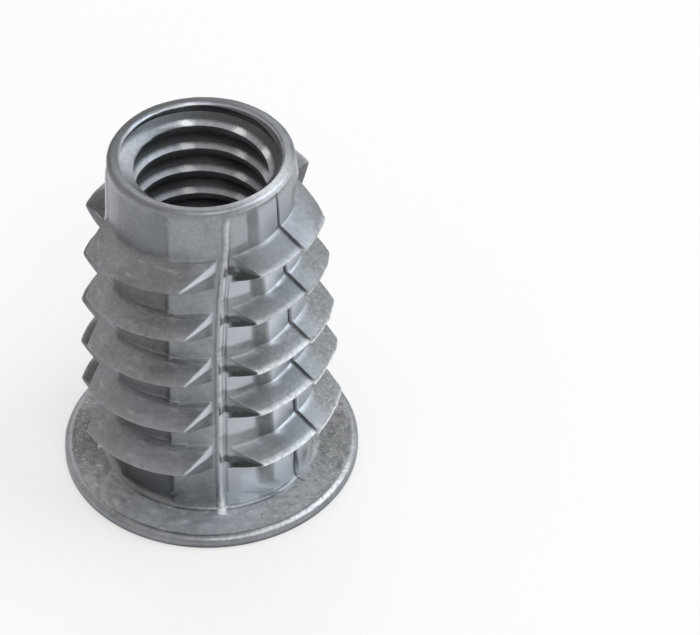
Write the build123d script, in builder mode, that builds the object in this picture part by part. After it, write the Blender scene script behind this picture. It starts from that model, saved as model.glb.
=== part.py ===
from build123d import *

import os
from math import atan, cos, degrees, floor, pi, radians, tan

# Flanged wood insert, die-cast in zinc alloy: a coarse interrupted thread outside,
# a machine-thread bore inside, and a hexagon socket in the flange end.
# Millimetres. The origin is the centre of the flange's outer face, on which the insert
# stands, and +Z runs along the axis to the threaded mouth.

os.makedirs("parts", exist_ok=True)

# Overall sizes
length = 15.0
flange_diameter = 11.8
flange_thickness = 0.5
flange_edge_chamfer = 0.1

# Machine thread bore, modelled at its minor diameter
machine_thread_diameter = 6.0
machine_thread_pitch = 1.0
bore_mouth_margin = 0.15
bore_mouth_angle = 90.0

# Hexagon socket: its key is as wide as the screw, which passes through the socket
hex_key_clearance = 0.1
hex_socket_depth = 5.0
socket_mouth_margin = 0.38
socket_mouth_angle = 90.0

# Tapered core: a wall round the socket's corners at its foot, and round the thread at its tip
core_foot_wall = 0.58
core_tip_wall = 0.45
core_foot_fillet = 0.3
rim_lip_height = 0.25
rim_lip_slope_height = 0.15
rim_lip_step = 0.07
rim_edge_rounding = 0.05

# Coarse thread for wood, a V ridge on a cone of its own
coarse_thread_pitch = 2.2
thread_start_gap = 1.25
neck_length = 1.65
crest_start_height = 1.28
crest_end_height = 1.05
crest_width = 0.1
flank_angle = 28.0
thread_root_overlap = 0.35
thread_end_setback = 3.6
lead_in_length = 2.25
lead_in_angle = 45.0

# Four die slides part the thread and leave a thin flash rib where they meet
slide_count = 4
notch_floor_width = 0.4
notch_side_angle = 52.0
flash_rib_width = 0.28
flash_rib_height = 0.1
flash_rib_end_gap = 0.8

# Raised land that each slide leaves on the core, midway between two parting lines
land_height = 0.1
land_width_angle = 40.0
land_end_gap = 1.1

# Bore and socket, worked out from the sizes above
bore_radius = (machine_thread_diameter - machine_thread_pitch) / 2
bore_depth = length - hex_socket_depth
bore_mouth_radius = (machine_thread_diameter + bore_mouth_margin) / 2
hex_flat_radius = (machine_thread_diameter + hex_key_clearance) / 2
hex_corner_radius = hex_flat_radius / cos(pi / 6)
socket_mouth_radius = hex_corner_radius + socket_mouth_margin
socket_mouth_depth = socket_mouth_radius / tan(radians(socket_mouth_angle / 2))

# Core and flange
flange_radius = flange_diameter / 2
core_foot_radius = hex_corner_radius + core_foot_wall
core_tip_radius = machine_thread_diameter / 2 + core_tip_wall
core_taper = (core_foot_radius - core_tip_radius) / (length - flange_thickness)
inner_radius = core_tip_radius / 2
rim_lip_radius = core_tip_radius + rim_lip_step
rim_lip_bottom = length - rim_lip_height
rim_slope_bottom = rim_lip_bottom - rim_lip_slope_height
land_end_height = length - land_end_gap
flash_rib_end_height = length - flash_rib_end_gap
slide_angle = 360 / slide_count


def core_radius(height):
    # Radius of the tapered core at a height above the flange's outer face
    return core_foot_radius - core_taper * (height - flange_thickness)


# Coarse thread: it starts and ends in the gap at a parting line, so it spans whole slides
thread_start = flange_thickness + thread_start_gap
thread_slides = floor((length - neck_length - thread_start) / coarse_thread_pitch * slide_count)
thread_turns = (thread_slides * slide_angle - thread_end_setback) / 360
thread_rise = coarse_thread_pitch * thread_turns
crest_start_radius = core_radius(thread_start) + crest_start_height
crest_end_radius = core_radius(thread_start + thread_rise) + crest_end_height
crest_taper_angle = degrees(atan((crest_start_radius - crest_end_radius) / thread_rise))
ridge_depth = crest_start_height + thread_root_overlap
ridge_half_base = crest_width / 2 + ridge_depth * tan(radians(flank_angle))
lead_in_start = length - lead_in_length
notch_inner_radius = crest_end_radius - ridge_depth - thread_root_overlap
notch_spread = flange_radius * tan(radians(notch_side_angle))


def lead_in_height(radius):
    # Height at which the lead-in cone has a given radius
    return lead_in_start + (crest_end_radius - radius) * tan(radians(lead_in_angle))


# Core, flange and rim lip, turned from one half section
with BuildPart() as core:
    with BuildSketch(Plane.XZ) as half_section:
        with BuildLine():
            Polyline(
                (0, 0),
                (flange_radius - flange_edge_chamfer, 0),
                (flange_radius, flange_edge_chamfer),
                (flange_radius, flange_thickness - flange_edge_chamfer),
                (flange_radius - flange_edge_chamfer, flange_thickness),
                (core_foot_radius, flange_thickness),
                (core_radius(rim_slope_bottom), rim_slope_bottom),
                (rim_lip_radius, rim_lip_bottom),
                (rim_lip_radius, length),
                (0, length),
                close=True,
            )
        make_face()
        corners = half_section.vertices()
        fillet(corners.sort_by_distance((core_foot_radius, 0, flange_thickness))[0], core_foot_fillet)
        fillet(corners.sort_by_distance((rim_lip_radius, 0, length))[0], rim_edge_rounding)
    revolve(axis=Axis.Z)

# One raised land of the core, with its middle on the +X side
with BuildPart() as land:
    with BuildSketch(Plane.XZ.rotated((0, 0, -land_width_angle / 2))):
        with BuildLine():
            Polyline(
                (inner_radius, flange_thickness / 2),
                (core_radius(flange_thickness) + land_height, flange_thickness / 2),
                (core_radius(land_end_height) + land_height, land_end_height - land_height),
                (core_radius(land_end_height), land_end_height),
                (inner_radius, land_end_height),
                close=True,
            )
        make_face()
    revolve(axis=Axis.Z, revolution_arc=land_width_angle)

# One flash rib, standing on the core along the parting line on the +X side
with BuildPart() as flash_rib:
    for height in (flange_thickness / 2, flash_rib_end_height):
        rib_radius = core_radius(height) + flash_rib_height
        with BuildSketch(Plane.XY.offset(height)):
            with Locations((rib_radius, 0)):
                Rectangle(rib_radius - inner_radius, flash_rib_width, align=(Align.MAX, Align.CENTER))
    loft()

# Coarse thread as one V ridge swept up a conical helix, before the slides part it
with BuildPart() as ridge:
    with BuildLine() as crest_path:
        Helix(
            coarse_thread_pitch,
            thread_rise,
            crest_start_radius,
            center=(0, 0, thread_start),
            cone_angle=-crest_taper_angle,
        )
    with BuildSketch(Plane(crest_path.line @ 0, x_dir=(1, 0, 0), z_dir=crest_path.line % 0)):
        Polygon(
            (0, crest_width / 2),
            (-ridge_depth, ridge_half_base),
            (-ridge_depth, -ridge_half_base),
            (0, -crest_width / 2),
            align=None,
        )
    sweep(is_frenet=True)

    # The last turn runs out under a lead-in cone, so that the insert starts by itself
    with BuildSketch(Plane.XZ):
        with BuildLine():
            Polyline(
                (flange_radius, lead_in_height(flange_radius)),
                (flange_radius, length + coarse_thread_pitch),
                (inner_radius, length + coarse_thread_pitch),
                (inner_radius, lead_in_height(inner_radius)),
                close=True,
            )
        make_face()
    revolve(axis=Axis.Z, mode=Mode.SUBTRACT)

# Gap that one parting line leaves in the thread, on the +X side: a slot down to the
# ridge's base, and from the core's surface outwards a V that lets both slides draw
with BuildPart() as notch:
    for height in (0, length):
        floor_radius = core_radius(height)
        with BuildSketch(Plane.XY.offset(height)):
            Polygon(
                (notch_inner_radius, -notch_floor_width / 2),
                (floor_radius, -notch_floor_width / 2),
                (floor_radius + flange_radius, -notch_floor_width / 2 - notch_spread),
                (floor_radius + flange_radius, notch_floor_width / 2 + notch_spread),
                (floor_radius, notch_floor_width / 2),
                (notch_inner_radius, notch_floor_width / 2),
                align=None,
            )
    loft()

with BuildPart() as parted_thread:
    add(ridge.part)
    with PolarLocations(0, slide_count):
        add(notch.part, mode=Mode.SUBTRACT)

# The whole casting, with its bore, socket and mouths cut last
with BuildPart() as threaded_insert:
    add(core.part)
    with PolarLocations(0, slide_count, start_angle=slide_angle / 2):
        add(land.part)
    with PolarLocations(0, slide_count):
        add(flash_rib.part)
    add(parted_thread.part)

    # Bore at the minor diameter, from the threaded mouth down to the socket
    with Locations(Plane.XY.offset(length)):
        CounterSinkHole(bore_radius, bore_mouth_radius, bore_depth, bore_mouth_angle)

    # Hexagon socket from the outer face, with flats across Y, and its conical mouth
    with BuildSketch(Plane.XY):
        RegularPolygon(hex_flat_radius, 6, major_radius=False, rotation=30)
    extrude(amount=hex_socket_depth, mode=Mode.SUBTRACT)
    with BuildSketch(Plane.XZ):
        with BuildLine():
            Polyline((0, 0), (socket_mouth_radius, 0), (0, socket_mouth_depth), close=True)
        make_face()
    revolve(axis=Axis.Z, mode=Mode.SUBTRACT)

threaded_insert.part.label = "threaded_insert"
export_step(threaded_insert.part, "parts/threaded_insert.step")
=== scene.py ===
import math

import bmesh
import bpy
import numpy as np
from mathutils import Matrix, Vector


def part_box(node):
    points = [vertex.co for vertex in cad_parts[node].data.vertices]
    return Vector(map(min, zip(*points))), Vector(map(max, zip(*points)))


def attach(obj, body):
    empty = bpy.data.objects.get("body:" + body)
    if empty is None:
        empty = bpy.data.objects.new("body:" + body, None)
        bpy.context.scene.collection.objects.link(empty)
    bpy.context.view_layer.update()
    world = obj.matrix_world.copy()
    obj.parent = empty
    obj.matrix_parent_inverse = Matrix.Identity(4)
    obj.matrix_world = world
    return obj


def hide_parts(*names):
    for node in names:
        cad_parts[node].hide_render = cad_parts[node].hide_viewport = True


# Threaded insert, die-cast in zinc. The shapes below are worked out in millimetres and in
# the turn angle, which runs in degrees counter-clockwise from -Y, seen from above.

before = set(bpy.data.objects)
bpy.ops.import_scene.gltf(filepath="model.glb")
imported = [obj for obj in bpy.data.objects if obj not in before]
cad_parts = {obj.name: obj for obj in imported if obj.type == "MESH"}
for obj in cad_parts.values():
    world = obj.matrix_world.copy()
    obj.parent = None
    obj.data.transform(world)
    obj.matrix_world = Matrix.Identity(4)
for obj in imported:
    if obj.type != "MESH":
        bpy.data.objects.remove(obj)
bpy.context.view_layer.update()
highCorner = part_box("threaded_insert")[1]
mm = 0.001
length = highCorner.z / mm
flangeRadius = highCorner.x / mm
print("frame loaded: insert %.1f mm long, flange %.1f mm across" % (length, 2 * flangeRadius))


def smoothStep(x, start, end):
    # 0 before start, 1 after end, and the cubic 3t^2 - 2t^3 between them
    t = np.clip((x - start) / (end - start), 0, 1)
    return t * t * (3 - 2 * t)


def fadeOut(x, start, end):
    # 1 before start and 0 after end
    return 1 - smoothStep(x, start, end)


def plateau(x, start, full, fade, end):
    # 0 before start, 1 from full to fade, and 0 again after end
    return smoothStep(x, start, full) * fadeOut(x, fade, end)


def softMax(a, b, width):
    # The larger of a and b, with a parabola of the given width over the corner between them
    blend = np.clip(0.5 + 0.5 * (a - b) / width, 0, 1)
    return b + (a - b) * blend + width * blend * (1 - blend)


def nearAngle(angle, centre, width):
    # 1 at one angle, falling off to both sides as the bell curve exp(-(distance / width)^2)
    return np.exp(-(((angle - centre + 180) % 360 - 180) / width) ** 2)


# Noise: how many random values it draws, and the large primes that scatter a cube's three
# indices over them
noiseValues = 4093
scatter = (73856093, 19349663, 83492791)


def valueNoise(points, size, seed):
    # Random values from -1 to 1 on a lattice of cubes, blended from the eight corners
    # round each point with the cubic 3t^2 - 2t^3
    table = np.random.default_rng(seed).uniform(-1, 1, noiseValues)
    cell = np.floor(points / size).astype(np.int64)
    part = points / size - cell
    weight = part * part * (3 - 2 * part)
    total = np.zeros(points.shape[:-1])
    for corner in np.ndindex(2, 2, 2):
        at = cell + corner
        key = at[..., 0] * scatter[0] ^ at[..., 1] * scatter[1] ^ at[..., 2] * scatter[2]
        share = np.where(np.array(corner) == 1, weight, 1 - weight).prod(axis=-1)
        total += table[key % noiseValues] * share
    return total


def turned(radius, angle, height):
    # A point on a circle about the axis: x = r sin(angle), y = -r cos(angle)
    turn = np.radians(angle)
    return np.stack([radius * np.sin(turn), -radius * np.cos(turn), height + 0 * radius], axis=-1)


def gridFaces(rows, columns, closeColumns):
    # Four corners for each cell of a grid whose last row joins the first, and whose last
    # column does too where it closes
    row = np.arange(rows)[:, None]
    column = np.arange(columns if closeColumns else columns - 1)[None, :]
    nextRow = (row + 1) % rows
    nextColumn = (column + 1) % columns
    corners = (row * columns + column, row * columns + nextColumn,
               nextRow * columns + nextColumn, nextRow * columns + column)
    return np.stack(np.broadcast_arrays(*corners), axis=-1).reshape(-1, 4)


# Points closer than this are joined, in mm, and folds sharper than this are shaded as
# edges, in degrees
joinDistance, sharpFold = 0.00001, 28


def makePiece(name, points, faces, marks):
    # A mesh object from whole arrays, in metres, its faces turned outwards, with a number
    # or three for each point and each named mark
    mesh = bpy.data.meshes.new(name)
    mesh.vertices.add(len(points))
    mesh.vertices.foreach_set("co", (points * mm).astype(np.float32).ravel())
    mesh.loops.add(faces.size)
    mesh.loops.foreach_set("vertex_index", faces.astype(np.int32).ravel())
    mesh.polygons.add(len(faces))
    mesh.polygons.foreach_set("loop_start", np.arange(0, faces.size, 4, dtype=np.int32))
    for mark, values in marks.items():
        kind, field = ("FLOAT_VECTOR", "vector") if values.ndim == 3 else ("FLOAT", "value")
        layer = mesh.attributes.new(mark, kind, "POINT")
        layer.data.foreach_set(field, values.astype(np.float32).ravel())
    mesh.update(calc_edges=True)
    mesh.validate()
    shape = bmesh.new()
    shape.from_mesh(mesh)
    bmesh.ops.remove_doubles(shape, verts=shape.verts, dist=joinDistance * mm)
    bmesh.ops.recalc_face_normals(shape, faces=shape.faces)
    if shape.calc_volume(signed=True) < 0:
        bmesh.ops.reverse_faces(shape, faces=shape.faces)
    shape.to_mesh(mesh)
    shape.free()
    mesh.shade_smooth()
    mesh.set_sharp_from_angle(angle=math.radians(sharpFold))
    piece = bpy.data.objects.new(name, mesh)
    bpy.context.scene.collection.objects.link(piece)
    return piece


# The casting: everything but the fine thread in its bore
casting = {
    "flangeThickness": 0.5, "flangeTopEdge": 0.26, "flangeUnderEdge": 0.1,
    "footRadius": 4.10, "tipRadius": 3.45,        # the core's taper
    "coreSwell": 0.18, "swellFull": 4.0, "swellFades": (10.2, 12.6),
    "footTop": 0.8, "footFillet": 0.3, "neckTop": 14.6,
    "plainAtFoot": 0.35, "plainAtNeck": 0.5,      # heights over which the columns straighten
    "rimRadius": 3.50, "rimHeight": 0.25, "rimRounding": 0.22, "mouthRadius": 3.09,
    "mouthRounding": 0.06, "mouthDepth": 0.13, "seamDepth": 1.6,
    "rimMargin": 0.012, "flangeMargin": 0.01,     # room left for the roughness
    "pitch": 2.2, "threadStart": 1.75, "turns": 5, "extraTurn": 0.25,
    "mostFoot": 0.42,                             # share of an end gap that a ridge's foot may take
    "spareNeck": 0.35,
    "crestStart": 5.33, "crestEnd": 4.58, "crestHalfWidth": 0.05,
    "flankAngle": 28.0, "leadInStart": 12.75,
    "crestRounding": (0.03, 0.03, 0.12, 0.03),    # by slide
    "floorHalfWidth": 0.2, "notchAngle": 52.0, "leastLift": 0.12, "facetRounding": 0.035,
    "ribHeight": 0.09, "ribSwell": 0.16, "ribSwellFades": (0.7, 1.3), "ribEnd": 14.35, "ribFade": 0.3,
    "hexFlat": 3.05, "socketMouth": 3.9, "socketDepth": 5.0, "boreBehindThread": 3.03,
    # How far the front parting line leans out of the vertical, in degrees by height
    "leanHeights": (0.8, 2.4, 8.6, 11.0, 13.2, 14.8), "leanAngles": (-2.5, -2.5, -0.5, 2.0, 7.0, 8.0),
    "leanWidth": 16,
    # and how far back the left parting line lies, between which angles round the axis
    "backHeights": (2, 5.4, 7.6, 9.8, 10.8), "backAngles": (2, 0, 1, 4, 5.5),
    "backFrom": (220, 248), "backTo": (290, 320),
    # Across each slide, as (angle from its parting line, value): flats and steps of the core
    "lands": (
        ((3, 0), (20, 0.0), (24, 0.1), (45, 0.04), (66, 0.1), (70, 0), (87, 0)),
        ((3, 0), (20, 0.0), (24, 0.1), (45, 0.04), (66, 0.1), (70, 0), (87, 0)),
        ((3, 0), (24, 0.0), (27, 0.06), (44, 0.02), (60, 0.0), (62.5, 0.1), (75, 0.05), (87, 0.06)),
        ((2.8, 0), (4, 0.1), (18, 0.1), (20, 0.06), (26.5, 0.16), (29, 0.16), (44.2, 0.04),
         (44.9, -0.05), (45.6, 0.2), (60, 0.2), (67, 0), (87, 0)),
    ),
    "foldsRise": 0.2, "foldsHalve": (11.5, 12.8), "foldsEnd": (14.45, 14.75),      # heights
    # and how much further out the crest is,
    "crestExtra": (((0, 0), (90, 0)), ((0, 0), (90, -0.06)), ((0, 0.06), (90, 0.06)),
                   ((0, -0.04), (44.9, -0.04), (45.4, 0.08), (90, 0.08))),
    # how thick the low ledge is that runs on from the ridge to the parting line,
    "ledges": (((0, 0.1), (18, 0.1), (20, 0)), ((0, 0.1), (18, 0.1), (20, 0)), ((0, 0), (90, 0)),
               ((0, 0.22), (18, 0.22), (20, 0))),
    "ledgeProfile": ((-0.19, -0.06, 0.62), (0, 1, 0)), "ledgeReach": (17, 19),
    # and the painted light and painted shade on the core's metal, in stripes, from -1 to 1
    "coreLightAndShade": (
        ((3, 0.1), (20, 0.1), (22, -0.3), (45, -0.2), (66, -0.2), (68, 0.1), (87, 0)),
        ((3, 0.1), (20, 0.1), (22, -0.3), (45, -0.2), (66, -0.2), (68, 0.1), (87, 0)),
        ((3, 0.2), (15, 0.1), (24, -0.2), (27, -0.6), (58, -0.6), (61.3, -0.8), (61.8, 0.0), (87, 0.0)),
        ((3, 0.5), (17.5, 0.65), (19.5, -0.5), (26.5, -0.35), (28.5, 1.0), (44, 0.9), (45.8, 0.8),
         (58, 0.5), (62, 0), (87, 0)),
    ),
    # By turn of the ridge from the foot up: how much higher than the even helix each slide's is
    "ridgeShift": ((0,) * 6, (0,) * 6, (0,) * 6, (-0.18, 0.18, 0.0, 0.18, 0.04, 0)),
    "proudFlank": 0.09, "proudFrom": (44.9, 45.4),
    "ridgeBlend": (0.07, 0.07, 0.07, 0.025),      # rounding where the ridge meets the core, by slide
    # Roughness: lattice size and height of each layer, in mm
    "waves": (1.4, 0.012), "grit": (0.34, 0.006), "sand": (0.24, 0.03), "nicks": (0.38, 0.045),
    "lumps": (0.45, 0.05),
}


def coreRadius(height):
    # The core tapers evenly from its foot on the flange to its tip, and is a little
    # thicker between the ridges than at either end
    c = casting
    taper = (c["footRadius"] - c["tipRadius"]) / (length - c["flangeThickness"])
    swell = plateau(height, c["footTop"], c["swellFull"], *c["swellFades"])
    return c["footRadius"] - taper * (height - c["flangeThickness"]) + c["coreSwell"] * swell


# Every column of the grid keeps to one place in the pattern that the four die slides
# leave: on the flash rib, on the slanted facet that ends each ridge, or on the rest of
# half a slide. The numbers are distances in mm for the rib, and shares for the others.
ribColumns = np.array([0.0, 0.05, 0.09, 0.12, 0.15, 0.2])
facetColumns = np.array([0.03, 0.1, 0.22, 0.36, 0.5, 0.64, 0.78, 0.9, 0.97, 1.0])
restColumns = np.concatenate([[0.012, 0.03], np.linspace(0.065, 0.44, 9), [0.4545, 0.47],
                              np.linspace(0.51, 0.95, 11), [0.975, 0.988, 1.0]])
facetReach = 17.5      # degrees
ribAngles = np.degrees(ribColumns / coreRadius(length / 3))

# The rows across one turn of the ridge, from its middle outwards: up to 0.1 is the crest's
# flat, up to 0.7 the flank, and the rest is the core up to halfway to the next turn
crestShare, flankShare = 0.1, 0.7
halfRows = np.array([0.05, 0.1, 0.13, 0.22, 0.34, 0.46, 0.58, 0.67, 0.7, 0.74, 0.82, 0.92])
blockRows = np.concatenate([halfRows[::-1], [0.0], -halfRows])


def columnLayout():
    # Angle from +X, parting line, side of it, kind and share of every column, all round
    facetAngle = ribAngles[-1] + facetColumns * (facetReach - ribAngles[-1])
    restAngle = facetReach + restColumns * (45 - facetReach)
    offset = np.concatenate([ribAngles, facetAngle, restAngle])
    kind = np.repeat([0, 1, 2], [len(ribColumns), len(facetColumns), len(restColumns)])
    share = np.concatenate([ribColumns, facetColumns, restColumns])
    order = np.concatenate([np.arange(len(offset)), np.arange(len(offset) - 2, 0, -1)])
    side = np.repeat([1, -1], [len(offset), len(offset) - 2])
    parts = []
    for slide in range(4):
        parting = np.where(side > 0, slide, slide + 1) * 90.0
        parts.append(np.stack([parting, side, offset[order], kind[order], share[order],
                               np.full(len(order), slide)]))
    return np.concatenate(parts, axis=1)


def bySlide(name, alpha, slide):
    # One of the casting's tables, whose values are joined by straight lines across each
    # slide, alpha going from 0 to 90 degrees
    values = [np.interp(alpha, *np.array(table).T) for table in casting[name]]
    return np.choose(slide.astype(int), values)


def ridgeHeights(u, alpha, block, slide):
    # Height of the ridge's middle, on a helix that climbs one pitch a turn, with the
    # ridge's reach up and down to its foot, and the heights of the gaps beside it
    c = casting
    middle = c["threadStart"] + c["pitch"] * (block + u / 360)
    allTurns = c["turns"] + c["extraTurn"]
    crest = c["crestStart"] + (c["crestEnd"] - c["crestStart"]) * (block + u / 360) / allTurns
    crest = crest + bySlide("crestExtra", alpha, slide)
    flank = math.tan(math.radians(c["flankAngle"]))
    foot = c["crestHalfWidth"] + (crest - coreRadius(middle)) * flank
    below = np.where(block > 0, middle - c["pitch"] / 2, c["footTop"])
    above = np.where(block < c["turns"], middle + c["pitch"] / 2, c["neckTop"])
    # Past its last quarter turn the helix is only rows of the grid, spread over the neck
    over = (block == c["turns"]) & (u > 90)
    spare = c["neckTop"] - c["spareNeck"] - c["threadStart"] - c["pitch"] * (c["turns"] + 1)
    spread = middle + spare * (u - 90) / 270
    middle = np.where(over, spread, middle + np.array(c["ridgeShift"])[slide.astype(int), block.astype(int)])
    footDown = np.where(over, np.minimum(foot, c["mostFoot"] * (middle - below)), foot)
    footUp = np.where(block == c["turns"], np.minimum(foot, c["mostFoot"] * (above - middle)), foot)
    return middle, crest, footDown, footUp, below, above


def outerRows(columns):
    # Radius, angle and height of the core and its ridge, from the neck down to the foot.
    # The ridge is a V: its crest's radius less the distance from the crest's flat over the
    # tangent of the flank's angle. A notch ends it: a V across each parting line.
    c = casting
    parting, side, offset, kind, share, slide = columns
    half, floorHalf = c["crestHalfWidth"], c["floorHalfWidth"]
    flank = math.tan(math.radians(c["flankAngle"]))
    notch = math.tan(math.radians(c["notchAngle"]))

    # Each turn has its block of rows, and one more halfway to the turn below
    block = np.repeat(np.arange(c["turns"], -1.0, -1), len(blockRows) + 1)[:-1, None]
    place = np.tile(np.append(blockRows, -1.0), c["turns"] + 1)[:-1, None]
    upper = place > 0
    reach = abs(place)

    # Across the rib at +X, where the ridge starts and ends, the rows go back one pitch
    ribEdge = ribAngles[-1]
    start = (parting == 0) & (side > 0) & (kind == 0)
    end = (parting == 360) & (side < 0) & (kind == 0)
    goneBack = (1 - np.clip(offset / ribEdge, 0, 1)) * (180 - ribEdge)

    # A column's angle depends on the ridge's height there, and that height on the angle, so
    # they are worked out three times over
    angle = np.broadcast_to(offset, (len(block), len(offset))).copy()
    for step in range(3):
        u = parting + side * angle
        u = np.where(start, ribEdge + goneBack, u)
        u = np.where(end, 360 - ribEdge - goneBack, u)
        alpha = np.where(side > 0, angle, 90 - angle)
        middle, crest, footDown, footUp, below, above = ridgeHeights(u, alpha, block, slide)
        foot = np.where(upper, footUp, footDown)
        gap = np.where(upper, above - middle, middle - below)
        away = (half * np.clip(reach / crestShare, 0, 1)
                + (foot - half) * np.clip((reach - crestShare) / (flankShare - crestShare), 0, 1)
                + (gap - foot) * np.clip((reach - flankShare) / (1 - flankShare), 0, 1))
        height = middle + np.where(upper, 1, -1) * away
        # Past its middle the front right slide's upper flank stands proud of the rest
        proud = c["proudFlank"] * smoothStep(alpha, *c["proudFrom"]) * (slide == 3) * upper
        rounding = np.choose(slide.astype(int), c["crestRounding"])
        ridge = crest - softMax(away - proud - half, 0 * away, rounding) / flank
        ridge = np.minimum(ridge, c["crestEnd"] + c["leadInStart"] - height)
        ridge = np.where((block == c["turns"]) & (slide > 0), 0, ridge)
        core = coreRadius(height)
        lift = np.maximum(ridge - core, c["leastLift"])
        bound = floorHalf + notch * lift
        boundAngle = np.degrees(np.arcsin(bound / (core + lift)))
        sideways = np.where(kind == 0, share, floorHalf + share * (bound - floorHalf))
        facet = core + np.maximum(sideways - floorHalf, 0) / notch
        facetAngle = np.degrees(np.arcsin(sideways / facet))
        restAngle = boundAngle + share * (45 - boundAngle)
        # Near the neck and the foot the columns go back to where the flange has them
        plain = fadeOut(height, c["footTop"], c["footTop"] + c["plainAtFoot"])
        plain = np.maximum(plain, smoothStep(height, c["neckTop"] - c["plainAtNeck"], c["neckTop"]))
        angle = np.where(kind == 2, restAngle, facetAngle) * (1 - plain) + offset * plain

    # The notch's side at each point, from its distance sideways of the parting line
    atSide = np.maximum(ridge, core) * np.sin(np.radians(angle))
    facet = np.where(kind == 2, core + np.maximum(atSide - floorHalf, 0) / notch, facet)
    alpha = np.where(side > 0, angle, 90 - angle)

    # Marks for the look: the crest's line, the facets that end the ridges, the painted shade
    # below the front right slide's ledges and what lies above them, and the upper part of each
    # end facet, parted from the lower along a slanted line. signed is the height over the ridge's middle.
    signed = np.where(upper, away, -away)
    onCrest = np.exp(-(away / 0.1) ** 2) * (facet > ridge - 0.05) * (ridge > core + 0.1)
    ledge = bySlide("ledges", alpha, slide) * np.interp(signed, *c["ledgeProfile"])
    onFacet = smoothStep(ridge - facet, 0, 0.06) * smoothStep(facet - core - ledge, 0.04, 0.14)
    ledge = ledge * (ridge > 0)
    byLedge = (slide == 3) * (ridge > 0) * fadeOut(alpha, *c["ledgeReach"])
    shadeUnderLedge = plateau(signed, -0.3, -0.2, 0.16, 0.3) * byLedge
    aboveLedge = smoothStep(signed, 0.16, 0.3) * byLedge
    nearFlank = smoothStep(signed - 0.16 * (crest - facet), -0.06, 0.06)
    ridge = -softMax(-ridge, -facet, c["facetRounding"])
    marks = {"onCrest": onCrest, "onFacet": onFacet * side, "shadeUnderLedge": shadeUnderLedge,
             "aboveLedge": aboveLedge, "nearFlank": nearFlank, "signed": signed}
    return height, core, ridge, ledge, parting + side * angle, alpha, marks


def arcRows(centre, radius, angles):
    # Points on an arc in the section: centre + radius (cos, sin), with that direction
    turn = np.radians(angles)
    return np.stack([centre[0] + radius * np.cos(turn), centre[1] + radius * np.sin(turn),
                     np.cos(turn), np.sin(turn)], axis=-1)


def lineRows(start, end, count, direction):
    # Points between two corners of the section, without the corners
    share = np.linspace(0, 1, count + 2)[1:-1, None]
    points = np.array(start) * (1 - share) + np.array(end) * share
    return np.concatenate([points, np.broadcast_to(direction, points.shape)], axis=1)


# Rows of the fillet at the core's foot and of the flange's top face
filletRows, flangeRows = 8, 16


def sectionRows():
    # The rest of the section: radius, height and outward direction of each row, first from
    # the bore over the rim to the neck, and then from the core's foot to the bore again
    c = casting
    bore, seam, mouth = c["boreBehindThread"], length - c["seamDepth"], length - c["mouthDepth"]
    rimTop, rimOut = length - c["rimMargin"], c["rimRadius"]
    rise, neck = c["rimRounding"], coreRadius(c["neckTop"])
    inner = c["mouthRadius"] + c["mouthRounding"]
    before = np.concatenate([
        lineRows((bore, seam), (bore, mouth), 3, (-1, 0)),
        [[bore, mouth, -0.7, 0.7]],
        [[c["mouthRadius"], length - 0.07, -0.7, 0.7]],
        arcRows((inner, rimTop - c["mouthRounding"]), c["mouthRounding"], np.array([150, 125, 105, 90])),
        lineRows((inner, rimTop), (rimOut - rise, rimTop), 5, (0, 1)),
        arcRows((rimOut - rise, rimTop - rise), rise, np.array([90, 68, 45, 22, 0])),
        [[rimOut, length - c["rimHeight"], 1, 0]],
        [[rimOut - 0.01, length - c["rimHeight"] - 0.03, 1, 0]],
        [[neck + 0.015, c["neckTop"] + 0.05, 1, 0]],
        [[neck, c["neckTop"], 1, 0]],
    ])
    foot, top = coreRadius(c["footTop"]), c["flangeThickness"]
    edge, underEdge = c["flangeTopEdge"], c["flangeUnderEdge"]
    out = flangeRadius - c["flangeMargin"]
    centre = (foot + c["footFillet"], c["footTop"])
    fillet = arcRows(centre, c["footFillet"], np.linspace(180, 270, filletRows))
    fillet[:, 2:] *= -1      # outwards is towards the arc's centre here
    after = np.concatenate([
        fillet,
        lineRows((foot + c["footFillet"], top), (out - edge, top), flangeRows, (0, 1)),
        arcRows((out - edge, top - edge), edge, np.array([90, 75, 60, 45, 30, 15, 0])),
        arcRows((out - underEdge, underEdge), underEdge, np.array([0, -22, -45, -68, -90])),
        lineRows((out - underEdge, 0), (c["socketMouth"], 0), 7, (0, -1)),
        [[c["socketMouth"], 0, -0.7, -0.7]],
        lineRows((c["socketMouth"], 0), (c["socketMouth"] - 1, 1), 12, (-0.7, -0.7)),
        # radius 0 here, because the hexagon is wider and takes its place
        lineRows((0, 1), (0, c["socketDepth"]), 14, (-1, 0)),
        [[0, c["socketDepth"], -1, 0]],
        [[bore + 0.02, c["socketDepth"], 0, -1]],
        [[bore, c["socketDepth"] + 0.02, -1, 0]],
        lineRows((bore, c["socketDepth"]), (bore, seam), 5, (-1, 0)),
    ])
    return before, after


# Where the casting is sandy or worn, and where light, highlights and shade are painted on
# it. Values by slide go from the back right one round to the front right, and what ends in
# At is the middle and width, in degrees round the axis, of a bell curve.
castingLook = {
    "sandyFrom": (46, 62), "sandyTo": (80, 86), "sandyTop": (11.2, 12.2),
    "crestWearAndGlint": (0.35, 0.35, 0.08, 1.0), "wearAndGlintLessen": (8.4, 9.4),
    "flangeEdgeHighlightAt": (42, 32), "rimHighlightAt": (46, 24), "rimShadeAt": (215, 90),
    "flangeHighlightAt": (338, 38), "flangeLeftShadeAt": (262, 24), "flangeRightShadeAt": (78, 25),
    "endFacetLighting": (0.2, -0.9, 1.0, 0.2), "creaseShadow": (44.8, 0.5),
    "smearAngles": (6, 12, 52, 62), "smearHeights": (0.52, 0.7, 1.6, 2.2), "smearSize": 0.8,
}


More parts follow.
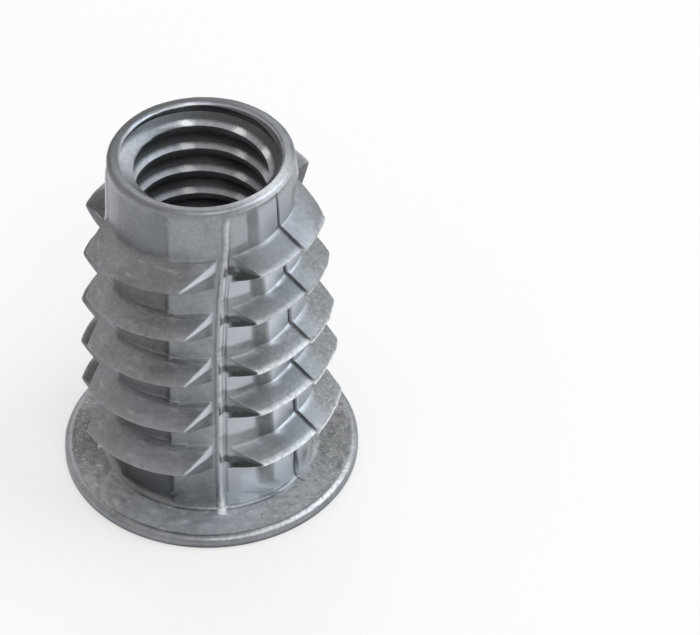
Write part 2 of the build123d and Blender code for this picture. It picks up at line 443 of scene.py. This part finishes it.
def castingSurface():
    # One closed grid carried round the axis: over the rim, down the core and its thread,
    # round the flange, and back up through the hexagon socket and the bore
    c, look = casting, castingLook
    columns = columnLayout()
    parting, side, offset, kind, share, slide = columns
    slideNumber = slide.astype(int)
    backLeft, frontLeft, frontRight = slide == 1, slide == 2, slide == 3
    threadHeight, core, threadRidge, ledge, u, threadAlpha, marks = outerRows(columns)
    before, after = sectionRows()
    firstAfter = len(before) + len(core)
    plainU = parting + side * offset
    plainAlpha = np.where(side > 0, offset, 90 - offset)

    def stack(first, middle, last):
        # The three parts of the section as one array of rows
        counts = (len(before), len(core), len(after))
        return np.concatenate([np.broadcast_to(np.asarray(part, float), (rows, len(offset)))
                               for part, rows in zip((first, middle, last), counts)])

    radius = stack(before[:, 0:1], core, after[:, 0:1])
    height = stack(before[:, 1:2], threadHeight, after[:, 1:2])
    angle = stack(plainU, u, plainU) + 90
    alpha = stack(plainAlpha, threadAlpha, plainAlpha)
    ridge = stack(-9, threadRidge, -9)      # far inside, where there is no ridge
    outX = stack(before[:, 2:3], 1, after[:, 2:3])
    outZ = stack(before[:, 3:4], 0, after[:, 3:4])
    onCrest, onFacet, signed, nearFlank, aboveLedge, shadeUnderLedge = (
        stack(0, marks[name], 0)
        for name in ("onCrest", "onFacet", "signed", "nearFlank", "aboveLedge", "shadeUnderLedge"))

    # Which rows are which: the outside from the rim's side to a little past the fillet, the
    # flange's top, the rim, and the edge of the bore's mouth
    row = np.arange(len(radius))[:, None]
    outside = (row >= len(before) - 5) & (row < firstAfter + filletRows + 2)
    onFlange = (row >= firstAfter + filletRows - 1) & (row < firstAfter + filletRows + flangeRows)
    rimRows = (row > 4) & (row < len(before) - 3)
    mouthRows = (row > 2) & (row < 7)

    # The socket: a hexagon, whose radius is a flat's distance over the cosine of the angle
    # from that flat's middle, or its conical mouth where that is wider
    fromFlat = (angle + 30) % 60 - 30
    hexagon = c["hexFlat"] / np.cos(np.radians(fromFlat))
    inward = (outX < 0) & (height <= c["socketDepth"]) & (row > len(before))
    radius = np.where(inward, np.maximum(radius, hexagon), radius)

    # Flats, steps and flash ribs, which fade out at the rim and on the flange
    folds = smoothStep(height, c["flangeThickness"], c["flangeThickness"] + c["foldsRise"]) * outside
    folds = folds * (1 - 0.5 * smoothStep(height, *c["foldsHalve"])) * fadeOut(height, *c["foldsEnd"])
    ribShape = np.where(kind == 0, fadeOut(share, 0.0, 0.19), 0) * outside
    ribTop = c["ribHeight"] + c["ribSwell"] * fadeOut(height, *c["ribSwellFades"])
    rib = ribShape * ribTop * fadeOut(height, c["ribEnd"], c["ribEnd"] + c["ribFade"])
    ribShare = np.clip(rib / c["ribHeight"], 0, 1)
    radius = radius + (bySlide("lands", alpha, slide) + stack(0, ledge, 0)) * folds
    radius = radius + rib * smoothStep(height, 0.49, 0.6)
    onRidge = smoothStep(ridge - radius, 0, 0.12)
    blend = np.choose(slideNumber, c["ridgeBlend"])
    radius = np.where(ridge > 0, softMax(radius, ridge, blend), radius)

    # Beside the front parting line everything leans with it, and the left one lies
    # further back
    nearFront = np.exp(-((angle - 360) / c["leanWidth"]) ** 2) * outside
    angle = angle + np.interp(height, c["leanHeights"], c["leanAngles"]) * nearFront
    turnedBack = np.interp(height, c["backHeights"], c["backAngles"])
    turnedBack = turnedBack * smoothStep(angle, *c["backFrom"]) * fadeOut(angle, *c["backTo"])
    angle = angle - turnedBack * outside

    # Sandy: half of the front right slide, the flange's top, and patches elsewhere
    points = turned(radius, angle, height)
    sandy = 0.65 * smoothStep(alpha, *look["sandyFrom"]) * fadeOut(alpha, *look["sandyTo"])
    sandy = sandy * frontRight * outside * (1 - 0.8 * smoothStep(height, *look["sandyTop"]))
    sandy = np.maximum(sandy, (0.8 + 0.2 * valueNoise(points, 1.5, 12)) * onFlange)
    sandy = np.maximum(sandy, 0.2 * smoothStep(valueNoise(points, 2.4, 11), 0.2, 0.6) * outside)
    sandy = np.maximum(sandy, 0.5 * nearFlank * (onFacet < -0.3) * frontLeft)

    # Roughness: layers of noise along the section's outward direction, each with its size
    # and height, but none on what faces down and in the bore
    (nickSize, nickDepth), (lumpSize, lumpHeight) = c["nicks"], c["lumps"]
    nicks = nickDepth * smoothStep(valueNoise(points, nickSize, 4), -0.2, 0.9) * (0.35 + sandy)
    rough = c["waves"][1] * valueNoise(points, c["waves"][0], 1)
    rough = rough + c["grit"][1] * valueNoise(points, c["grit"][0], 2)
    rough = rough + c["sand"][1] * sandy * valueNoise(points, c["sand"][0], 3) - nicks * onCrest
    lumps = smoothStep(valueNoise(points, lumpSize, 5), 0.1, 0.8) - 0.3
    rough = rough + lumpHeight * onFlange * lumps
    facesDown = (outZ < 0) | (height < 0.02)
    rough = np.where(facesDown | ((outX < 0) & (row < 5)), 0, rough)
    radius, height = radius + rough * outX, height + rough * outZ
    radius = np.minimum(radius, flangeRadius)
    height = np.clip(height, 0, length)

    # Where the metal is worn bright, and where highlights are painted on as pale metal: glints
    # on the crests, most on the front right slide's lower turns, the flange's edge most on one
    # side, the foot of the flash ribs, and a painted highlight on one side of the rim
    crestWearAndGlint = np.choose(slideNumber, look["crestWearAndGlint"])
    crestWearAndGlint = crestWearAndGlint * (1 - 0.6 * smoothStep(height, *look["wearAndGlintLessen"]))
    edgeWearAndHighlight = np.clip(4 * outX * outZ, 0, 1) * (radius > flangeRadius - 0.5) * (height > 0.25)
    edgeWearAndHighlight = edgeWearAndHighlight * smoothStep(outZ, 0.5, 0.8) * (0.1 + 0.9 * nearAngle(angle, *look["flangeEdgeHighlightAt"]))
    ribWear = ribShare * (0.3 + 0.7 * fadeOut(height, 0.6, 1.5))
    rimHighlight = rimRows * nearAngle(angle, *look["rimHighlightAt"])
    wearAndHighlight = np.maximum(np.maximum(onCrest * crestWearAndGlint, edgeWearAndHighlight), np.maximum(ribWear, 0.4 * rimHighlight))

    # Painted light and shade, from -1 to 1: the core's lit and shaded stripes and painted shade on the
    # ridges' far ends,
    paintedLightAndSmears = bySlide("coreLightAndShade", alpha, slide) * folds * (1 - onRidge) * (1 - aboveLedge)
    paintedLightAndSmears = paintedLightAndSmears - 0.85 * smoothStep(alpha, 52, 64) * backLeft * onRidge
    paintedLightAndSmears = paintedLightAndSmears - 0.3 * smoothStep(alpha, 50, 60) * frontRight * onRidge
    # the facets, painted light where the front left slide's ridges end and painted shade where most start,
    endFacetLight = np.choose(slideNumber, look["endFacetLighting"]) * nearFlank - 0.35 * (1 - nearFlank)
    startFacetShade = np.where(frontRight, -0.15 - 0.55 * (1 - nearFlank), -0.8)
    paintedLightAndSmears = paintedLightAndSmears * (1 - abs(onFacet)) + np.where(onFacet < 0, endFacetLight, startFacetShade) * abs(onFacet)
    # a painted highlight on the front right slide's ridge near the neck
    paintedLightAndSmears = paintedLightAndSmears + 0.2 * onRidge * frontRight * smoothStep(height, 12.2, 12.8) * smoothStep(alpha, 45, 60)
    # the crease's painted shadow, the rim's painted highlight and the painted shade at its back, and the
    # mouth's edge painted lighter,
    creaseAlpha, creaseWidth = look["creaseShadow"]
    creaseShadow = np.exp(-((alpha - creaseAlpha) / creaseWidth) ** 2) * frontRight * outside
    paintedLightAndSmears = np.minimum(paintedLightAndSmears, 1.5 - 2.5 * creaseShadow)
    paintedLightAndSmears = paintedLightAndSmears + (0.5 - paintedLightAndSmears) * rimHighlight + 0.5 * mouthRows
    paintedLightAndSmears = paintedLightAndSmears - 0.7 * rimRows * nearAngle(angle, *look["rimShadeAt"])
    # the flange, painted lighter in front and painted in shade at both sides and under its edge,
    underEdge = (outX > 0.5) * (radius > flangeRadius - 0.2) * (height < 0.2)
    flangeLightAndShade = 0.6 * nearAngle(angle, *look["flangeHighlightAt"])
    flangeLightAndShade = flangeLightAndShade - 0.45 * nearAngle(angle, *look["flangeLeftShadeAt"])
    flangeLightAndShade = flangeLightAndShade - 0.35 * nearAngle(angle, *look["flangeRightShadeAt"])
    paintedLightAndSmears = paintedLightAndSmears - 0.6 * underEdge + flangeLightAndShade * onFlange * (outZ > 0.9)
    # a painted glint on the front right slide's crests and painted shade on the first half of its flanks,
    paintedLightAndSmears = paintedLightAndSmears + 0.3 * onCrest * crestWearAndGlint * frontRight
    paintedLightAndSmears = paintedLightAndSmears - 0.3 * onRidge * (1 - onCrest) * frontRight * fadeOut(alpha, 44, 46)
    # smears at the core's foot, a painted highlight on the flash ribs and painted shade on one side, and the
    # painted shade below the ledges
    atFoot = plateau(angle % 360, *look["smearAngles"]) * outside
    atFoot = atFoot * plateau(height, *look["smearHeights"]) * (1 - onRidge)
    smears = valueNoise(points * (1, 1, 0.6), look["smearSize"], 31)
    smearTone = 1.1 * smoothStep(smears, 0.0, 0.45) - 1.2 * np.exp(-((smears + 0.12) / 0.06) ** 2)
    paintedLightAndSmears = paintedLightAndSmears + smearTone * atFoot
    ribShadeSide = smoothStep(share, 0.1, 0.14) * (kind == 0) * frontLeft * folds
    paintedLightAndSmears = paintedLightAndSmears + (0.3 * ribShare - 0.4 * ribShadeSide) * (kind == 0)
    paintedLightAndSmears = np.minimum(paintedLightAndSmears, 1 - 1.8 * shadeUnderLedge * (1 - onRidge * (1 - abs(onFacet))))

    # Where the ripples run: height over the ridge's middle, way round, and how strong
    along = np.stack([signed, 0.07 * alpha + 0 * signed, onRidge * (1 - sandy) * (slide < 3)], axis=-1)
    marks = {"wearAndHighlight": np.clip(wearAndHighlight, 0, 1), "sandy": sandy, "paintedLightAndSmears": paintedLightAndSmears, "along": along}
    return turned(radius, angle, height), marks


points, marks = castingSurface()
rows, around = points.shape[:2]
insertBody = makePiece("cast_body", points.reshape(-1, 3), gridFaces(rows, around, True), marks)
print("casting: %d rows of %d points" % (rows, around))


# The machine thread in the bore, a ring let into the casting
machineThread = {
    "pitch": 1.1, "minorRadius": 2.5, "majorRadius": 3.0, "ringRadius": 3.15,
    "crestWidth": 0.24, "rootWidth": 0.26, "startAngle": -133.0,
    "bottom": 4.98, "columnsPerTurn": 120,
    # Painted reflections: the spots on every thread and the lit side of the countersink, in degrees round the
    # axis
    "reflectionSpots": (185.0, 138.0, 103.0), "reflectionSpotWidth": 4.5,
    "reflectingSide": 262.0, "reflectingSideWidth": 34,
    "footCone": 0.6,                              # mm up for each mm in
    "roughness": (0.5, 0.008),                    # lattice size and height, mm
    # Across a turn, in mm from the crest's lower edge: where it is shaded, the band of painted
    # light, the groove's painted shade, and the painted reflection streak in the groove as (middle, width)
    "shaded": (0.14, 0.24), "litBandShares": (0.2, 0.25, 0.30, 0.38), "dark": (0.31, 0.39),
    "streak": (0.62, 0.07),
}


def threadSurface():
    # One turn's profile carried up a helix: height = pitch x turns + share, the share being
    # the mm up the profile, and radius from the profile, or from the cone at either mouth
    # where that is wider. What lies past a mouth is gathered on its edge, and a plain wall
    # behind closes the ring.
    m = machineThread
    bottom, topRadius = m["bottom"], casting["boreBehindThread"]
    top = length - casting["mouthDepth"]
    flank = (m["pitch"] - m["crestWidth"] - m["rootWidth"]) / 2
    corners = np.cumsum([0, m["crestWidth"], flank, m["rootWidth"], flank])
    inner, outer = m["minorRadius"], m["majorRadius"]
    spacing = np.array([0.0, 0.08, 0.25, 0.5, 0.75, 0.92])      # of rows between two corners
    share = np.concatenate([start + (end - start) * spacing for start, end in zip(corners[:-1], corners[1:])])
    profile = np.interp(share, corners, [inner, inner, outer, outer, inner])
    turns = int((top - bottom) / m["pitch"]) + 4                # some to spare at both ends
    step = np.arange(m["columnsPerTurn"] + 1) / m["columnsPerTurn"]
    climb = (np.arange(turns)[:, None] * m["pitch"] + share).reshape(-1, 1)
    height = bottom - 1.6 * m["pitch"] + climb + m["pitch"] * step
    radius = np.tile(profile, turns)[:, None] + 0 * height
    angle = 360 * step + m["startAngle"] + 0 * height
    cone = np.maximum(topRadius - (top - height), outer - 0.02 - (height - bottom) / m["footCone"])
    radius = softMax(radius, cone, 0.03)
    past = (height >= top) | (height <= bottom)
    size, depth = m["roughness"]
    radius = radius + depth * valueNoise(turned(radius, angle, height), size, 21)
    radius = np.where(past | (radius > topRadius), topRadius, radius)
    height = np.clip(height, bottom, top)
    wall = np.full((1, len(step)), m["ringRadius"])
    ends = [np.full((1, len(step)), edge) for edge in (top, bottom)]
    radius = np.concatenate([radius, wall, wall])
    height = np.concatenate([height, *ends])
    angle = np.concatenate([angle, angle[:2]])

    # Each thread has a band of painted light above its crest, with painted reflection spots,
    # and the grooves have painted shade but for a painted reflection streak in the middle. The
    # countersink has a painted reflection on one side. The wall's two rows get a wide profile,
    # so that they count as outside the countersink.
    share = np.append(np.tile(share, turns), (0, 0))[:, None] + 0 * height
    wideProfile = np.append(np.tile(profile, turns), (9, 9))[:, None]
    inCone = smoothStep(np.append(cone, cone[:2], axis=0) - wideProfile, -0.05, 0.05)
    inCone = inCone * (height > length / 2)
    reflectionStreakAt, reflectionStreakWidth = m["streak"]
    streak = np.exp(-((share - reflectionStreakAt) / reflectionStreakWidth) ** 2)
    paintedLightAndSmears = -smoothStep(share, *m["dark"]) * (0.75 - 0.5 * streak) - 0.4 * fadeOut(share, *m["shaded"])
    side = nearAngle(angle, m["reflectingSide"], m["reflectingSideWidth"])
    paintedLightAndSmears = paintedLightAndSmears * (1 - inCone) + (1.2 * side - 0.5) * inCone
    reflectionSpotShare = sum(nearAngle(angle, spot, m["reflectionSpotWidth"]) for spot in m["reflectionSpots"])
    reflectionSpotShare = np.clip(reflectionSpotShare, 0, 1)
    litBand = plateau(share, *m["litBandShares"])
    wearAndHighlight = litBand * (0.15 + 0.35 * side + 2.0 * reflectionSpotShare) * (1 - inCone) + 0.5 * side ** 2 * inCone
    paintedLightAndSmears = paintedLightAndSmears + litBand * (0.2 + 0.6 * side + 0.8 * reflectionSpotShare) * (1 - inCone)
    along = np.stack([share, 0.05 * angle, 0 * share], axis=-1)
    return turned(radius, angle, height), {"wearAndHighlight": wearAndHighlight, "sandy": 0 * wearAndHighlight, "paintedLightAndSmears": paintedLightAndSmears, "along": along}


points, marks = threadSurface()
rows, around = points.shape[:2]
threadRing = makePiece("machine_thread", points.reshape(-1, 3), gridFaces(rows, around, False), marks)
print("machine thread: %d rows of %d points" % (rows, around))


# Cast zinc: grey metal, mottled and a little rough, brighter where its edges are worn and
# where light is painted on, darker where shade is painted on
castZinc = {
    "dark": (0.20, 0.212, 0.225, 1), "light": (0.36, 0.378, 0.405, 1),
    # colours of painted light and painted shade; then pale metal for wear and painted highlights, sand,
    # specks and streaks
    "paintedLightColour": (0.66, 0.70, 0.76, 1), "paintedShadeColour": (0.045, 0.05, 0.053, 1),
    "wearAndHighlightColour": (0.90, 0.92, 0.95, 1), "sandyColour": (0.58, 0.59, 0.585, 1),
    "speck": (0.80, 0.81, 0.80, 1), "streak": (0.62, 0.64, 0.67, 1),
    # Noise as (scale, detail, roughness): three in metres, the ripples by their own attribute
    "clouds": (420, 4, 0.55), "speckle": (5200, 3, 0.6), "grain": (8500, 3, 0.6),
    "rippleStretch": (7, 1, 0), "ripples": (1.0, 2, 0.5), "rippleBump": 3.0,
    "roughness": (0.34, 0.5), "sandyExtra": 0.3, "metallic": 0.9, "wearAndHighlightMetallic": 0.2,
    "bumpStrength": 0.5, "bumpHeight": 0.02,      # mm
}


def addNode(tree, kind, inputs=(), **settings):
    # A shader node with its settings by name and its first inputs in order: a number, a
    # colour, a socket to link, or None to leave the input as it is
    made = tree.nodes.new(kind)
    for name, value in settings.items():
        setattr(made, name, value)
    for number, value in enumerate(inputs):
        if isinstance(value, bpy.types.NodeSocket):
            tree.links.new(value, made.inputs[number])
        elif value is not None:
            made.inputs[number].default_value = value
    return made


def noiseNode(tree, place, scale, detail, roughness):
    made = addNode(tree, "ShaderNodeTexNoise", (place,))
    made.inputs["Scale"].default_value = scale
    made.inputs["Detail"].default_value = detail
    made.inputs["Roughness"].default_value = roughness
    return made.outputs["Fac"]


def mathNode(tree, operation, *inputs):
    return addNode(tree, "ShaderNodeMath", inputs, operation=operation).outputs[0]


def rangeNode(tree, value, low, high, newLow, newHigh):
    return addNode(tree, "ShaderNodeMapRange", (value, low, high, newLow, newHigh)).outputs[0]


def mixColours(tree, factor, first, second):
    # The colour mixing node has its colours at inputs 6 and 7, and its result at output 2
    return addNode(tree, "ShaderNodeMix", (factor, None, None, None, None, None, first, second),
                   data_type="RGBA").outputs[2]


def castZincMaterial():
    z = castZinc
    material = bpy.data.materials.new("cast_zinc")
    material.use_nodes = True
    tree = material.node_tree
    shader = tree.nodes["Principled BSDF"]
    place = addNode(tree, "ShaderNodeTexCoord").outputs["Object"]
    wearAndHighlight, sandy, paintedLightAndSmears = (addNode(tree, "ShaderNodeAttribute", attribute_name=mark).outputs["Fac"]
                         for mark in ("wearAndHighlight", "sandy", "paintedLightAndSmears"))
    along = addNode(tree, "ShaderNodeAttribute", attribute_name="along").outputs["Vector"]
    onRidge = addNode(tree, "ShaderNodeSeparateXYZ", (along,)).outputs[2]
    stretched = addNode(tree, "ShaderNodeVectorMath", (along, z["rippleStretch"]),
                        operation="MULTIPLY").outputs[0]
    ripples = noiseNode(tree, stretched, *z["ripples"])
    clouds = noiseNode(tree, place, *z["clouds"])
    speckle = noiseNode(tree, place, *z["speckle"])
    grain = noiseNode(tree, place, *z["grain"])

    # Colour: clouds and speckle between two greys, paler where it is sandy, then lightened or
    # darkened by the painted light and shade, with streaks on the ridges, specks, and pale metal
    # on worn edges and painted highlights
    mottle = mathNode(tree, "MULTIPLY_ADD", speckle, 0.35, clouds)
    grey = mixColours(tree, rangeNode(tree, mottle, 0.48, 0.88, 0, 1), z["dark"], z["light"])
    sandyShare = mathNode(tree, "MULTIPLY", sandy, rangeNode(tree, speckle, 0.3, 0.6, 0.2, 0.8))
    grey = mixColours(tree, sandyShare, grey, z["sandyColour"])
    paintedLightShare = mathNode(tree, "MAXIMUM", paintedLightAndSmears, 0.0)
    paintedShadeShare = mathNode(tree, "MAXIMUM", mathNode(tree, "MULTIPLY", paintedLightAndSmears, -1.0), 0.0)
    grey = mixColours(tree, paintedLightShare, grey, z["paintedLightColour"])
    grey = mixColours(tree, paintedShadeShare, grey, z["paintedShadeColour"])
    streaks = mathNode(tree, "MULTIPLY", onRidge, rangeNode(tree, ripples, 0.6, 0.72, 0, 0.45))
    grey = mixColours(tree, streaks, grey, z["streak"])
    patchy = mathNode(tree, "MULTIPLY", sandy, rangeNode(tree, clouds, 0.35, 0.6, 0.2, 1))
    specks = mathNode(tree, "MULTIPLY", patchy, rangeNode(tree, grain, 0.54, 0.68, 0, 0.7))
    grey = mixColours(tree, specks, grey, z["speck"])
    wearAndHighlightPatchy = mathNode(tree, "MULTIPLY", wearAndHighlight, rangeNode(tree, speckle, 0.35, 0.6, 0.4, 1))
    tree.links.new(mixColours(tree, wearAndHighlightPatchy, grey, z["wearAndHighlightColour"]), shader.inputs["Base Color"])
    # Where it is worn or painted with a highlight it scatters light more than it mirrors
    mirroring = rangeNode(tree, wearAndHighlightPatchy, 0, 1, z["metallic"], z["wearAndHighlightMetallic"])
    tree.links.new(mirroring, shader.inputs["Metallic"])

    # Roughness: uneven all over, and higher where the surface is sandy
    uneven = rangeNode(tree, clouds, 0.3, 0.7, *z["roughness"])
    extra = mathNode(tree, "MULTIPLY", sandy, z["sandyExtra"])
    tree.links.new(mathNode(tree, "ADD", uneven, extra), shader.inputs["Roughness"])

    # Bump: a fine grain, stronger where it is sandy, over slight dents, and ripples on ridges
    strength = mathNode(tree, "MULTIPLY_ADD", sandy, 0.8, 0.2)
    fine = mathNode(tree, "MULTIPLY", mathNode(tree, "ADD", grain, speckle), strength)
    height = mathNode(tree, "MULTIPLY_ADD", clouds, 0.6, fine)
    rippled = mathNode(tree, "MULTIPLY", ripples, onRidge)
    height = mathNode(tree, "MULTIPLY_ADD", rippled, z["rippleBump"], height)
    bump = addNode(tree, "ShaderNodeBump")
    bump.inputs["Strength"].default_value = z["bumpStrength"]
    bump.inputs["Distance"].default_value = z["bumpHeight"] * mm
    tree.links.new(height, bump.inputs["Height"])
    tree.links.new(bump.outputs["Normal"], shader.inputs["Normal"])
    return material


zinc = castZincMaterial()
for piece in (insertBody, threadRing):
    piece.data.materials.append(zinc)
    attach(piece, "root")
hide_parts("threaded_insert")
print("pieces ride on the insert's body")


# The floor: white, lit well enough to read as a white background round the shadow
floorPlane = {"halfSize": 1.5, "colour": (0.965, 0.96, 0.955, 1), "roughness": 0.9, "whitening": 0.5}


def makeFloor():
    f = floorPlane
    s = f["halfSize"]
    mesh = bpy.data.meshes.new("floor")
    mesh.from_pydata([(-s, -s, 0), (s, -s, 0), (s, s, 0), (-s, s, 0)], [], [(0, 1, 2, 3)])
    floor = bpy.data.objects.new("floor", mesh)
    bpy.context.scene.collection.objects.link(floor)
    material = bpy.data.materials.new("white_table")
    material.use_nodes = True
    tree = material.node_tree
    shader = tree.nodes["Principled BSDF"]
    shader.inputs["Base Color"].default_value = f["colour"]
    shader.inputs["Roughness"].default_value = f["roughness"]
    shader.inputs["Specular IOR Level"].default_value = 0.0
    # The camera and mirroring metal see the floor mixed with plain white, so that it runs
    # out into a white background
    light = addNode(tree, "ShaderNodeLightPath")
    mirrored = mathNode(tree, "ADD", light.outputs["Is Glossy Ray"], light.outputs["Is Transmission Ray"])
    seen = mathNode(tree, "MAXIMUM", light.outputs["Is Camera Ray"], mirrored)
    rays = mathNode(tree, "MULTIPLY", seen, f["whitening"])
    glow = addNode(tree, "ShaderNodeEmission", ((1, 1, 1, 1), 1.0))
    mixed = addNode(tree, "ShaderNodeMixShader", (rays, shader.outputs[0], glow.outputs[0]))
    tree.links.new(mixed.outputs[0], tree.nodes["Material Output"].inputs["Surface"])
    mesh.materials.append(material)


makeFloor()


# Soft studio light: large lamps high on the right, behind and in front, each as (place in
# metres, size in metres, watts, colour)
lamps = {
    "rightSoftbox": ((0.38, -0.04, 0.32), 0.45, 0.95, (0.84, 0.92, 1.0)),
    "backSoftbox": ((0.06, 0.42, 0.40), 0.6, 0.7, (1.0, 1.0, 1.0)),
    "frontSoftbox": ((0.05, -0.36, 0.42), 0.30, 0.6, (1.0, 1.0, 1.0)),
}
worldColour = (0.58, 0.565, 0.55, 1)


def makeLights():
    for name, (place, size, watts, colour) in lamps.items():
        data = bpy.data.lights.new(name, "AREA")
        data.shape = "DISK"
        data.size = size
        data.energy = watts
        data.color = colour
        lamp = bpy.data.objects.new(name, data)
        lamp.location = place
        lamp.rotation_euler = (-Vector(place)).to_track_quat("-Z", "Y").to_euler()
        bpy.context.scene.collection.objects.link(lamp)
    world = bpy.data.worlds.new("studio")
    world.use_nodes = True
    world.node_tree.nodes["Background"].inputs["Color"].default_value = worldColour
    bpy.context.scene.world = world


makeLights()
print("floor and lights")


# The camera, found from the outlines of the flange and the rim in the photograph
photoCamera = {
    "place": (-9.725, -87.044, 85.813),      # mm
    "lookAlong": (0.12883, 0.73064, -0.67050),
    "roll": 0.22,                            # degrees
    "focalPixels": 3040.4, "imageWidth": 700,
    "sensorWidth": 36.0,                     # mm
    "nearest": 0.005,                        # metres
}


def makeCamera():
    p = photoCamera
    data = bpy.data.cameras.new("photo_camera")
    data.sensor_width = p["sensorWidth"]
    data.lens = p["focalPixels"] / p["imageWidth"] * data.sensor_width
    data.clip_start = p["nearest"]
    along = Vector(p["lookAlong"]).normalized()
    right = along.cross(Vector((0, 0, 1))).normalized()
    right.rotate(Matrix.Rotation(math.radians(-p["roll"]), 3, along))
    up = right.cross(along)
    camera = bpy.data.objects.new("photo_camera", data)
    turn = Matrix((right, up, -along)).transposed().to_4x4()
    camera.matrix_world = Matrix.Translation(Vector(p["place"]) * mm) @ turn
    bpy.context.scene.collection.objects.link(camera)
    bpy.context.scene.camera = camera


makeCamera()
bpy.context.scene.view_settings.view_transform = "Standard"

bpy.context.view_layer.update()
